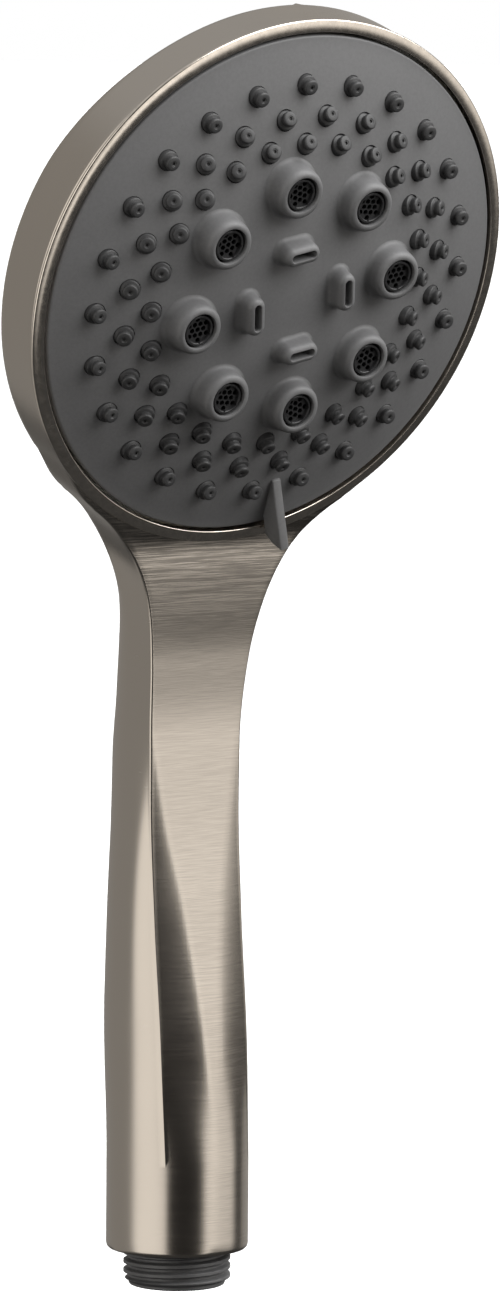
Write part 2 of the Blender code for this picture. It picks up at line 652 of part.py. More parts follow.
def makeFacePlate(nozzlePlaces):
    """The domed front with its selector tab, aerator bosses, massage slots and nozzle holes."""
    radii = (0, 14, 28, FACE_RADIUS - 10.3, FACE_RADIUS - 0.4)
    outer = [(r, dome(r)) for r in radii] + [(FACE_RADIUS, dome(FACE_RADIUS - 0.4) - 0.4), (FACE_RADIUS, -3.0)]
    inner = [(FACE_RADIUS - FACE_SKIRT, -3.0), (FACE_RADIUS - FACE_SKIRT, dome(FACE_RADIUS - 2.3) - FACE_SKIN)]
    inner += [(r, dome(r) - FACE_SKIN) for r in (36, 22, 0)]
    plate = turned("face_plate", outer + inner, faceFrame, "face_grey", closed=False)
    bosses = [polar(AERATOR_CIRCLE, angle) for angle in aroundFace(AERATOR_COUNT)]
    root = dome(AERATOR_CIRCLE) - 1.5
    boolean(plate, cones("aerator_bosses", bosses, BOSS_BASE, AERATOR_BORE + 0.5, root, AERATOR_TOP, faceFrame,
                         sides=16), "UNION")
    slots = [polar(SLOT_CIRCLE, angle) for angle in aroundFace(SLOT_COUNT)]
    boolean(plate, racetrack("slot_bosses", SLOT_LENGTH + 2.2, SLOT_WIDTH + 2.3, dome(SLOT_CIRCLE) - 1,
                             SLOT_TOP, slots, faceFrame), "UNION")
    posts = [polar(AERATOR_CIRCLE, angle) for angle in POST_ANGLES]
    postTop = dome(AERATOR_CIRCLE) - 1.0
    postBottom = PLATE_BOTTOM + PLATE_THICKNESS + GAP
    boolean(plate, cones("screw_posts", posts, POST_RADIUS, POST_RADIUS, postBottom, postTop, faceFrame,
                         sides=10), "UNION")
    boolean(plate, makeTab(), "UNION")
    boolean(plate, cones("aerator_holes", bosses, AERATOR_BORE, AERATOR_BORE, -1, 12, faceFrame, sides=16))
    boolean(plate, racetrack("slot_holes", SLOT_LENGTH, SLOT_WIDTH, 0, 14, slots, faceFrame))
    boolean(plate, cones("post_holes", posts, SCREW_RADIUS + GAP, SCREW_RADIUS + GAP, postBottom - 1,
                         postTop - 1.2, faceFrame, sides=10))
    clear = NOZZLE_BASE + GAP
    boolean(plate, cones("nozzle_holes", nozzlePlaces, clear + 0.1, clear, -FACE_SKIN - 2.0, 2.0, faceFrame))
    return plate


def makeAerators():
    """One insert with a grid of holes in each aerator boss."""
    for number, angle in enumerate(aroundFace(AERATOR_COUNT), 1):
        place = polar(AERATOR_CIRCLE, angle)
        top = AERATOR_TOP - 0.5
        insert = disc(f"aerator_insert_{number}", AERATOR_BORE - GAP, top - 3.5, top, faceFrame, "rubber",
                      metres(place), 12)
        holes = [place @ cell for cell in gridPlaces(1.75, 1.8)]
        boolean(insert, cones(f"aerator_cells_{number}", holes, 0.7, 0.7, top - 5, top, faceFrame, sides=4))


def makeDistributor():
    """The back of the face: chamber walls that meet the dome, and a port for each chamber."""
    top = PLATE_BOTTOM + PLATE_THICKNESS
    edge = FACE_RADIUS - FACE_SKIRT - GAP
    profile = [(0, top)]
    for middle in CHAMBER_WALLS:
        inner, outer = middle - WALL_THICKNESS / 2, middle + WALL_THICKNESS / 2
        wallTop = dome(outer) - FACE_SKIN - 0.5
        profile += [(inner, top), (inner, wallTop), (outer, wallTop), (outer, top)]
    profile += [(edge, top), (edge, PLATE_BOTTOM), (0, PLATE_BOTTOM)]
    plate = turned("distributor_plate", profile, faceFrame, "white_plastic", closed=False)
    boolean(plate, disc("axle_boss", 2.4, PLATE_BOTTOM + 1, top + 0.7, faceFrame), "UNION")
    ports = []
    for number, radius in enumerate(PORT_CIRCLES):
        angle = FACE_PORT_START + CLICK_STEP * number
        ports.append(polar(radius, angle))
        channel = polar((radius + OUTLET_CIRCLE) / 2, angle) @ Matrix.Rotation(math.radians(90), 4, "Z")
        length = abs(radius - OUTLET_CIRCLE) + 4.0
        boolean(plate, racetrack(f"port_channel_{number}", length, 3.6, -8, PLATE_BOTTOM + 1.2, [channel],
                                 faceFrame))
    boolean(plate, cones("distributor_ports", ports, 1.8, 1.8, -8, 0, faceFrame, sides=12))
    screws = [polar(AERATOR_CIRCLE, angle) for angle in POST_ANGLES]
    way = SCREW_RADIUS + GAP
    boolean(plate, cones("screw_ways", screws, way, way, -8, 0, faceFrame, sides=10))
    head = PLATE_BOTTOM + 1.5
    boolean(plate, cones("screw_sinks", screws, 2.5, 2.5, -8, head, faceFrame, sides=10))
    boolean(plate, cones("axle_hole", [polar(0, 0)], AXLE_RADIUS + GAP, AXLE_RADIUS + GAP, -3.9, 0, faceFrame,
                         sides=12))
    boolean(plate, cones("pivot_hole", [polar(0, 0)], PIVOT_RADIUS + GAP, PIVOT_RADIUS + GAP, -8, -4.3, faceFrame,
                         sides=12))
    return plate


def makeDiverter():
    """The hard disc on the back of the face: it slides over the outlet seal and the detent."""
    top = PLATE_BOTTOM - GAP
    back = top - DIVERTER_THICKNESS
    diverter = disc("diverter_disc", DIVERTER_RADIUS, back, top, faceFrame, "white_plastic", sides=ROUND)
    ports = [polar(OUTLET_CIRCLE, FACE_PORT_START + CLICK_STEP * n) for n in range(len(PORT_CIRCLES))]
    boolean(diverter, cones("diverter_ports", ports, 1.8, 1.8, -10, -4, faceFrame, sides=12))
    pivot = PIVOT_RADIUS + GAP
    boolean(diverter, cones("diverter_pivot", [polar(0, 0)], pivot, pivot, -10, -4, faceFrame, sides=12))
    first = DETENT_ANGLE - FACE_REST_TURN - CLICK_STEP
    dimples = [polar(DETENT_CIRCLE, first + CLICK_STEP * n) for n in range(len(PORT_CIRCLES))]
    boolean(diverter, cones("detent_dimples", dimples, 1.9, 1.2, back - 1, back + 0.9, faceFrame, sides=10))
    return diverter


def makeFaceFasteners():
    top = PLATE_BOTTOM + 1.5
    for number, angle in enumerate(POST_ANGLES, 1):
        head = top - GAP
        turned(f"distributor_screw_{number}", [(0, 3.2), (SCREW_RADIUS, 3.2), (SCREW_RADIUS, head), (2.1, head),
               (2.1, head - 1.0), (0, head - 1.0)], faceFrame, "steel", metres(polar(AERATOR_CIRCLE, angle)),
               12, closed=False)
    seat = HUB_BACK - 0.9
    turned("pivot_screw", [(0, -4.8), (PIVOT_RADIUS, -4.8), (PIVOT_RADIUS, seat), (3.6, seat), (3.6, seat - 1.3),
                           (0, seat - 1.3)], faceFrame, "steel", sides=FINE, closed=False)
    ring("pivot_washer", PIVOT_RADIUS + GAP, 4.6, HUB_BACK - 0.6, HUB_BACK - GAP, faceFrame, "steel")
    ring("pivot_sleeve", PIVOT_RADIUS + GAP, SLEEVE_RADIUS, HUB_BACK, -8.9, faceFrame, "white_plastic")


def makeTurbine():
    """A bladed wheel that chops the massage jets, free on a steel axle."""
    low, high = -2.0, 2.4
    disc("turbine_axle", AXLE_RADIUS, -3.6, 4.6, faceFrame, "steel", sides=12)
    turbine = ring("turbine", AXLE_RADIUS + GAP, 3.2, low, high, faceFrame, "white_plastic")
    rim = ring("turbine_rim", TURBINE_RADIUS - 1.0, TURBINE_RADIUS, low, low + 1.6, faceFrame)
    boolean(turbine, rim, "UNION")
    for number, angle in enumerate(aroundFace(5)):
        reach = TURBINE_RADIUS - 3.0
        place = polar(2.4 + reach / 2, angle) @ Matrix.Rotation(math.radians(90), 4, "Z")
        boolean(turbine, racetrack(f"turbine_blade_{number}", reach + 0.6, 1.4, low + 0.1, high - 0.2, [place],
                                   faceFrame), "UNION")
    return turbine


makeShell()
makeTrimRing()
makeConnector()
makeInletParts()
makeTube()
makeManifold()
makeManifoldParts()
nozzleMat, nozzlePlaces = makeNozzleMat()
makeFacePlate(nozzlePlaces)
makeAerators()
makeDistributor()
makeDiverter()
makeFaceFasteners()
makeTurbine()
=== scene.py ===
import json
import math

import bmesh
import bpy
from mathutils import Matrix, Vector


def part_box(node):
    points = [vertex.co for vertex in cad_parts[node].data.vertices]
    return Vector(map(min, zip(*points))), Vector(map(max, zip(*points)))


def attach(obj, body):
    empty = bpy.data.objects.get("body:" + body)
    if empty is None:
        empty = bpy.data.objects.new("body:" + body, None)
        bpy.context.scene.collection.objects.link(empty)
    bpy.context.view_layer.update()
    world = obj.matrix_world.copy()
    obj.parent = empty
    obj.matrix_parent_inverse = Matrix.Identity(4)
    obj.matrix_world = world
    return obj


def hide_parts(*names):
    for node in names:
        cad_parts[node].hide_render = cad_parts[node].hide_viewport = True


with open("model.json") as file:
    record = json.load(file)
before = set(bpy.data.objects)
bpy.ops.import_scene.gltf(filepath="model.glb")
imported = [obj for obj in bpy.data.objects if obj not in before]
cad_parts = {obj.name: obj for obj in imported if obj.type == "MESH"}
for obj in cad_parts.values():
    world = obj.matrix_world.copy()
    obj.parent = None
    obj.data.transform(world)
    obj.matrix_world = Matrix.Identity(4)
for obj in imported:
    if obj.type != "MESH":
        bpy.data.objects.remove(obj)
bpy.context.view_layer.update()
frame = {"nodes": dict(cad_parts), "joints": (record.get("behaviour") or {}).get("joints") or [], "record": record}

# sizes in the dictionaries are millimetres and degrees
mm = 0.001
nodes = frame["nodes"]
scene = bpy.context.scene

faceJoint = next(j for j in frame["joints"] if j["name"] == "face_turn")
spray = Vector(faceJoint["axis"]).normalized()
headCentre = Vector(faceJoint["pos_m"]) / mm
across = Vector((1, 0, 0))
headTurn = Matrix((across, spray.cross(across), spray)).transposed().to_4x4()
headPlace = Matrix.Translation(headCentre) @ headTurn
restTurn = 12.5                                # the face's click position at rest
facePlace = headPlace @ Matrix.Rotation(math.radians(restTurn), 4, "Z")
tilt = math.asin(-spray.z)
threadTop = (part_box("body_shell")[0].z) / mm   # the handle starts where the thread ends
print("frame loaded:", len(nodes), "nodes")


# shader graphs

# A socket that takes part in sums.
class Wire:
    def __init__(self, graph, socket):
        self.graph = graph
        self.socket = socket

    def maths(self, operation, *values):
        return self.graph.node("ShaderNodeMath", {"operation": operation}, dict(enumerate(values))).out()

    def __add__(self, other):
        return self.maths("ADD", self, other)

    def __sub__(self, other):
        return self.maths("SUBTRACT", self, other)

    def __mul__(self, other):
        return self.maths("MULTIPLY", self, other)

    def __truediv__(self, other):
        return self.maths("DIVIDE", self, other)

    def __radd__(self, other):
        return self.maths("ADD", other, self)

    def __rsub__(self, other):
        return self.maths("SUBTRACT", other, self)

    def __rmul__(self, other):
        return self.maths("MULTIPLY", other, self)


# One shader node whose outputs come out as wires.
class Node:

    def __init__(self, graph, made):
        self.graph = graph
        self.made = made

    def out(self, key=0):
        return Wire(self.graph, self.made.outputs[key])


# A material's or the world's node tree.
class Graph:

    def __init__(self, owner):
        owner.use_nodes = True
        self.tree = owner.node_tree
        self.tree.nodes.clear()

    def node(self, kind, settings=None, inputs=None):
        made = self.tree.nodes.new(kind)
        for key, value in (settings or {}).items():
            if key == "stops":
                ramp = made.color_ramp.elements
                while len(ramp) < len(value):
                    ramp.new(0.5)
                for element, (position, colour) in zip(ramp, value):
                    element.position = position
                    element.color = colour
            else:
                setattr(made, key, value)
        for key, value in (inputs or {}).items():
            socket = made.inputs[key]
            if isinstance(value, Wire):
                self.tree.links.new(value.socket, socket)
            else:
                socket.default_value = value
        return Node(self, made)

    # Mix two colours.
    def blend(self, factor, low, high):
        keys = {0: factor, 6: low, 7: high}
        return self.node("ShaderNodeMix", {"data_type": "RGBA"}, keys).out(2)

    def noise(self, where, scale, detail=2.0, roughness=0.5):
        keys = {"Vector": where, "Scale": scale, "Detail": detail, "Roughness": roughness}
        return self.node("ShaderNodeTexNoise", {}, keys).out(0)

    # Map a range of values smoothly onto another.
    def within(self, value, low, high, start=0.0, end=1.0):
        keys = {"Value": value, "From Min": low, "From Max": high, "To Min": start, "To Max": end}
        return self.node("ShaderNodeMapRange", {"interpolation_type": "SMOOTHSTEP"}, keys).out(0)

    def stretch(self, where, scale, turn=(0, 0, 0)):
        keys = {"Vector": where, "Scale": scale, "Rotation": turn}
        return self.node("ShaderNodeMapping", {"vector_type": "POINT"}, keys).out(0)

    def bump(self, height, strength, distance):
        keys = {"Height": height, "Strength": strength, "Distance": distance}
        return self.node("ShaderNodeBump", {}, keys).out(0)

    def surface(self, inputs):
        shader = self.node("ShaderNodeBsdfPrincipled", {}, inputs).out(0)
        self.node("ShaderNodeOutputMaterial", {}, {"Surface": shader})


def grey(value):
    return (value, value, value, 1.0)


# meshes

# Quads between rows of points, in millimetres.
def gather(rows, bm, closed=True, ends=False):
    rings = [[bm.verts.new(Vector(p) * mm) for p in row] for row in rows]
    count = len(rings[0])
    last = count if closed else count - 1
    for low, high in zip(rings, rings[1:]):
        for i in range(last):
            j = (i + 1) % count
            bm.faces.new((low[i], low[j], high[j], high[i]))
    if ends:
        bm.faces.new(list(reversed(rings[0])))
        bm.faces.new(rings[-1])


# A closed profile of (radius, height) turned about the place's Z.
def turnRound(profile, sides, place, bm):
    rows = []
    for i in range(sides + 1):
        a = 2 * math.pi * i / sides
        rows.append([place @ Vector((r * math.cos(a), r * math.sin(a), h)) for r, h in profile])
    gather(rows, bm)


def meshFrom(bm, name, sharp=40):
    bmesh.ops.remove_doubles(bm, verts=bm.verts, dist=0.000002)
    bmesh.ops.dissolve_degenerate(bm, edges=bm.edges, dist=0.000001)
    bmesh.ops.recalc_face_normals(bm, faces=bm.faces)
    mesh = bpy.data.meshes.new(name)
    bm.to_mesh(mesh)
    bm.free()
    mesh.shade_smooth()
    mesh.set_sharp_from_angle(angle=math.radians(sharp))
    return mesh


def objectFrom(bm, name, sharp=40):
    thing = bpy.data.objects.new(name, meshFrom(bm, name, sharp))
    scene.collection.objects.link(thing)
    return thing


# Join or cut with a boolean, and keep only the result.
def carve(thing, tool, operation="DIFFERENCE", sharp=40):
    step = thing.modifiers.new("carve", "BOOLEAN")
    step.operation = operation
    step.object = tool
    step.solver = "EXACT"
    bpy.context.view_layer.update()
    result = bpy.data.meshes.new_from_object(thing.evaluated_get(bpy.context.evaluated_depsgraph_get()))
    thing.modifiers.clear()
    thing.data = result
    result.shade_smooth()
    result.set_sharp_from_angle(angle=math.radians(sharp))
    bpy.data.objects.remove(tool)
    return thing


def finishPiece(thing, material, body, slot, *replaced):
    thing.data.materials.clear()
    thing.data.materials.append(material)
    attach(thing, body)
    if replaced:
        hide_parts(*replaced)


def smooth(low, high, value):
    t = min(1.0, max(0.0, (value - low) / (high - low)))
    return t * t * (3 - 2 * t)


# A smooth curve through (position, value) points that never overshoots them.
def through(points, value):
    if value <= points[0][0]:
        return points[0][1]
    if value >= points[-1][0]:
        return points[-1][1]
    rise = [(b[1] - a[1]) / (b[0] - a[0]) for a, b in zip(points, points[1:])]
    slopes = [rise[0]]
    for a, b in zip(rise, rise[1:]):
        slopes.append(2 * a * b / (a + b) if a * b > 0 else 0.0)
    slopes.append(rise[-1])
    i = max(n for n in range(len(points) - 1) if points[n][0] <= value)
    (a, low), (b, high) = points[i], points[i + 1]
    width = b - a
    t = (value - a) / width
    start = low * (1 + 2 * t) * (1 - t) ** 2 + slopes[i] * width * t * (1 - t) ** 2
    return start + high * t * t * (3 - 2 * t) + slopes[i + 1] * width * t * t * (t - 1)


# The smaller of two values, rounded where they cross.
def softer(a, b, reach):
    return 0.5 * (a + b - math.sqrt((a - b) ** 2 + reach * reach))


# camera

camera = {
    "place": (-857.2, -1205.9, 277.05),
    "right": (0.8102, -0.5862, 0.0072),
    "up": (0.0539, 0.0868, 0.9948),
    "lens": 213.7,
}


def makeCamera():
    lens = bpy.data.cameras.new("studioCamera")
    lens.lens = camera["lens"]
    lens.sensor_width = 36.0
    lens.clip_end = 20.0
    eye = bpy.data.objects.new("studioCamera", lens)
    scene.collection.objects.link(eye)
    right = Vector(camera["right"]).normalized()
    up = Vector(camera["up"]).normalized()
    turn = Matrix((right, up, right.cross(up))).transposed().to_4x4()
    eye.matrix_world = Matrix.Translation(Vector(camera["place"]) * mm) @ turn
    scene.camera = eye


makeCamera()
scene.view_settings.view_transform = "Standard"


# studio: soft panels round the object, a white backdrop and a pale floor

studio = {
    "panels": (                # azimuth in degrees from straight in front, towards +X; brightness
        (-180, 0.25), (-118, 0.25), (-104, 0.95), (-58, 0.95), (-50, 0.02), (4, 0.02), (14, 0.92), (26, 1.0),
        (40, 0.8), (64, 0.74), (74, 0.05), (90, 0.05), (96, 0.3), (140, 0.3), (150, 0.22), (180, 0.25),
    ),
    "tint": (1.0, 0.97, 0.93),
    "strength": 1.22,
    "floor": -0.25,
    "floorSun": 3.6,
    "overhead": 0.35, "overheadFrom": (0.55, 0.8),       # brightness above, and over which heights
    "below": 0.04, "belowFrom": (-0.43, -0.20),
    "leftLift": 0.3, "leftFrom": (0.575, 0.54),          # the dark below starts lower on the left
    "key": 30.0, "keyAzimuth": 42, "keyHeight": 48,      # the key lamp's power and direction
    "keySize": 1.5, "keyAway": 1.2,
}


def makeStudio():
    world = bpy.data.worlds.new("studio")
    scene.world = world
    graph = Graph(world)
    way = graph.node("ShaderNodeTexCoord").out("Generated")
    parts = graph.node("ShaderNodeSeparateXYZ", {}, {0: way})
    azimuth = parts.out(0).maths("ARCTAN2", parts.out(0), -1.0 * parts.out(1))
    share = azimuth / (2 * math.pi) + 0.5
    stops = [((a + 180) / 360, tuple(b * c for c in studio["tint"]) + (1.0,)) for a, b in studio["panels"]]
    panels = graph.node("ShaderNodeValToRGB", {"stops": stops}, {0: share}).out(0)
    height = parts.out(2)
    overhead = graph.within(height, *studio["overheadFrom"])
    left = graph.within(share, *studio["leftFrom"])
    below = graph.within(height + studio["leftLift"] * left, *studio["belowFrom"])
    dim = graph.blend(below, grey(studio["below"]), panels)
    lit = graph.blend(overhead, dim, grey(studio["overhead"]))
    soft = graph.node("ShaderNodeBackground", {}, {"Color": lit, "Strength": studio["strength"]}).out(0)
    white = graph.node("ShaderNodeBackground", {}, {"Color": grey(1.0), "Strength": 1.0}).out(0)
    seen = graph.node("ShaderNodeLightPath").out("Is Camera Ray")
    both = graph.node("ShaderNodeMixShader", {}, {0: seen, 1: soft, 2: white}).out(0)
    graph.node("ShaderNodeOutputWorld", {}, {"Surface": both})


def makeFloor():
    bm = bmesh.new()
    bmesh.ops.create_grid(bm, x_segments=1, y_segments=1, size=30.0)
    mesh = bpy.data.meshes.new("floor")
    bm.to_mesh(mesh)
    bm.free()
    floor = bpy.data.objects.new("floor", mesh)
    floor.location.z = studio["floor"]
    scene.collection.objects.link(floor)
    material = bpy.data.materials.new("paleFloor")
    graph = Graph(material)
    where = graph.node("ShaderNodeTexCoord").out("Object")
    tone = graph.within(graph.noise(where, 3.0), 0.3, 0.7)
    colour = graph.blend(tone, grey(0.88), grey(0.92))
    graph.surface({"Base Color": colour, "Roughness": 0.7})
    mesh.materials.append(material)
    floor.visible_glossy = False
    floor.visible_diffuse = False
    lamp = bpy.data.lights.new("floorLamp", "SUN")
    lamp.energy = studio["floorSun"]
    lamp.angle = math.radians(40)
    sun = bpy.data.objects.new("floorLamp", lamp)
    scene.collection.objects.link(sun)
    lit = bpy.data.collections.new("floorLamp")
    lit.objects.link(floor)
    sun.light_linking.receiver_collection = lit


# A large soft light high on the right.
def makeKey():
    lamp = bpy.data.lights.new("keyLight", "AREA")
    lamp.energy = studio["key"]
    lamp.size = studio["keySize"]
    key = bpy.data.objects.new("keyLight", lamp)
    a, e = math.radians(studio["keyAzimuth"]), math.radians(studio["keyHeight"])
    way = Vector((math.sin(a) * math.cos(e), -math.cos(a) * math.cos(e), math.sin(e)))
    key.location = headCentre * mm + way * studio["keyAway"]
    key.rotation_euler = way.to_track_quat("Z", "Y").to_euler()
    scene.collection.objects.link(key)


makeStudio()
makeFloor()
makeKey()
print("studio ready")


# finishes

nickel = {
    "colour": (0.60, 0.545, 0.48), "roughness": 0.24,
    "line": 0.85,              # how much darker the brushed lines are
    "scratchShade": 0.18,           # how dark the coarse streaks under the ring are: scratches carrying painted shade
    "scratchShadeLow": (0.122, 0.146), "scratchShadeHigh": (0.158, 0.153),   # metres up the handle: the band just under the ring that gets the streaks and the painted shade
    "facing": (0.5, 0.85),     # only what faces forwards shows its brushing
    "bump": 0.00003,
}


def toned(tone):
    return tuple(c * tone for c in nickel["colour"]) + (1.0,)


# Satin nickel. grain is the stretch of the brushing along X, Y and Z; worn adds coarse scratches and, in a band
# just under the ring, painted shade in dark streaks.
def nickelMaterial(name, grain, tone=1.0, rough=0.0, wornAndShaded=False):
    material = bpy.data.materials.new(name)
    graph = Graph(material)
    coordinates = graph.node("ShaderNodeTexCoord")
    where = coordinates.out("Object")
    lines = graph.noise(graph.stretch(where, grain), 1.0, 2.0, 0.7)
    fine = graph.noise(where, 2600.0, 2.0, 0.6)
    cloud = graph.noise(where, 60.0, 2.0)
    colour = graph.blend(graph.within(lines, 0.3, 0.7), toned(tone * nickel["line"]), toned(tone))
    depth = lines * 0.7 + fine * 0.3
    if wornAndShaded:
        coarse = graph.noise(graph.stretch(where, tuple(g * 0.5 for g in grain)), 1.0, 3.0, 0.7)
        height = graph.node("ShaderNodeSeparateXYZ", {}, {0: where}).out(2)
        facing = graph.node("ShaderNodeSeparateXYZ", {}, {0: coordinates.out("Normal")})
        front = graph.within(-1.0 * facing.out(1), *nickel["facing"])
        near = graph.within(height, *nickel["scratchShadeLow"]) * graph.within(height, *nickel["scratchShadeHigh"])
        near = near * front
        colour = graph.blend(front, toned(tone), colour)
        # painted shade: the front just under the ring is darkened toward near black in streaks
        scratchedShade = near * graph.within(coarse, 0.4, 0.62, 0.6, 0.0)
        colour = graph.blend(scratchedShade, colour, toned(tone * nickel["scratchShade"]))
        depth = depth + coarse * near
    roughness = nickel["roughness"] + rough + 0.1 * (cloud - 0.5) + 0.08 * (lines - 0.5)
    relief = graph.bump(depth, 0.3, nickel["bump"])
    graph.surface({"Base Color": colour, "Metallic": 1.0, "Roughness": roughness, "Normal": relief})
    return material


# Moulded plastic or rubber with a fine grain.
def plasticMaterial(name, light, dark, roughness, speck=0.1, bumpDepth=0.00002, scale=1500.0):
    material = bpy.data.materials.new(name)
    graph = Graph(material)
    where = graph.node("ShaderNodeTexCoord").out("Object")
    grain = graph.noise(where, scale, 2.0, 0.7)
    cloud = graph.noise(where, 40.0, 2.0)
    mottle = graph.within(grain * 0.7 + cloud * 0.3, 0.3, 0.7)
    colour = graph.blend(mottle, (*dark, 1.0), (*light, 1.0))
    rough = roughness + speck * (grain - 0.5)
    relief = graph.bump(grain, 0.35, bumpDepth)
    graph.surface({"Base Color": colour, "Roughness": rough, "Normal": relief})
    return material


shellNickel = nickelMaterial("brushedNickel", (140.0, 140.0, 6400.0), wornAndShaded=True)
# painted light: the ring takes a copy of the same nickel made 1.45 times lighter in colour
ringNickelPaintedLight = nickelMaterial("brushedNickelRing", (700.0, 700.0, 700.0), 1.45, -0.06)
faceGrey = plasticMaterial("faceGrey", (0.165, 0.165, 0.167), (0.145, 0.145, 0.147), 0.52)
nozzleRubber = plasticMaterial("nozzleRubber", (0.055, 0.055, 0.056), (0.043, 0.043, 0.044), 0.5, 0.08)
aeratorDark = plasticMaterial("aeratorDark", (0.03, 0.03, 0.031), (0.02, 0.02, 0.021), 0.38, 0.08)
threadGrey = plasticMaterial("threadGrey", (0.125, 0.125, 0.127), (0.105, 0.105, 0.107), 0.42)
whitePlastic = plasticMaterial("whiteAcetal", (0.78, 0.78, 0.75), (0.72, 0.72, 0.69), 0.42)
sealRubber = plasticMaterial("sealRubber", (0.03, 0.03, 0.03), (0.02, 0.02, 0.02), 0.55)
steelWire = nickelMaterial("plainSteel", (1500.0, 1500.0, 1500.0), 1.1, 0.02)
finishes = {
    "brushed_nickel": shellNickel, "face_grey": faceGrey, "nozzle_rubber": nozzleRubber,
    "aerator_dark": aeratorDark, "thread_grey": threadGrey, "white_plastic": whitePlastic,
    "black_seal": sealRubber, "steel": steelWire,
}


# Every carried-over node takes its slot's finish.
def dressFrame():
    for row in frame["record"]["subparts"]:
        data = nodes[row["node"]].data
        data.materials.clear()
        data.materials.append(finishes[row["material_slot"]])


dressFrame()
print("finishes ready")


# handle and head back

shell = {
    "radius": 52.95,           # straight side wall of the head
    "seat": -1.15,             # rim plane under the trim ring
    "wallEnd": -11.3,          # the side wall turns into the back here
    "wallLow": -2.5, "wallHigh": 2.4,   # what is added to it at the neck and at the top
    "crown": 6.7,
    "soft": 3.0,
    "ridge": -18.2,            # the back of the neck runs up over the head at this height
    "ridgeWidth": 38.0,
    "wall": 2.4,
    "corner": 0.5,             # rounding of the two front edges
    "meet": -45.5,             # the flare's edges run into the rim's circle here
    "lean": (96, 140),         # rows turn square to the face between these heights
    "flatEnd": 146.6,          # above this the front lies in the rim's plane
    "width": ((25, 9.83), (49, 10.3), (96, 10.5), (108, 10.4)),
    "side": ((25, 13.9), (49, 13.6), (72.7, 12.8), (96, 11.4), (112, 10.65), (126, 10.4)),
    "front": ((25, 9.83), (49, 8.6), (72.7, 6.5), (96, 5.2), (108, 5.3), (123.3, 6.8), (134.9, 8.8),
              (142.7, 10.0), (146.6, 10.38)),
    "bulge": ((25, 4.07), (40, 3.5), (57, 2.7), (75, 1.75), (92, 0.75), (109, 0.0)),
    # the flat middle's share of the front, between the two creases
    "flat": ((25, 0.0), (40, 0.1), (57, 0.22), (75, 0.42), (92, 0.72), (109, 0.98)),
    "back": ((90, 13.9), (104, 14.2), (115.5, 12.6), (131, 10.1), (142.7, 8.2), (150.4, 6.2), (156, 4.4)),
}
hollow = {
    "seatRadius": 51.9, "cartridgeRadius": 49.6, "cartridgeSeat": -8.9, "floorRadius": 52.6, "floor": -12.3,
    "boreRows": (16, 25, 41, 57, 72, 88, 100, 108, 115, 122, 129, 135, 140, 144, 148),
}
handleRadius = 13.9
arcTop = math.sqrt(0.5)        # a quarter circle's height at its corners, and the drop to them
arcDrop = 1 - arcTop
flareStart, flareDoubling = 146.6, 7.8
headFrom, headTo = 130, 150.4  # the handle's back turns into the head's back


# How far in front of the axis a plane parallel to the rim lies.
def planeFront(z, height):
    return -headCentre.y + (height + math.sin(tilt) * (z - headCentre.z)) / math.cos(tilt)


# Where a row that starts at the front corner reaches a height over the rim's plane.
def alongRow(z, front, lean, height):
    start = math.cos(tilt) * (front + headCentre.y) - math.sin(tilt) * (z - headCentre.z)
    return -front + (start - height) / (math.cos(tilt) + math.sin(tilt) * lean)


# Height up the head's plane of a point on the front.
def upHead(z, front):
    return math.sin(tilt) * (front + headCentre.y) + math.cos(tilt) * (z - headCentre.z)


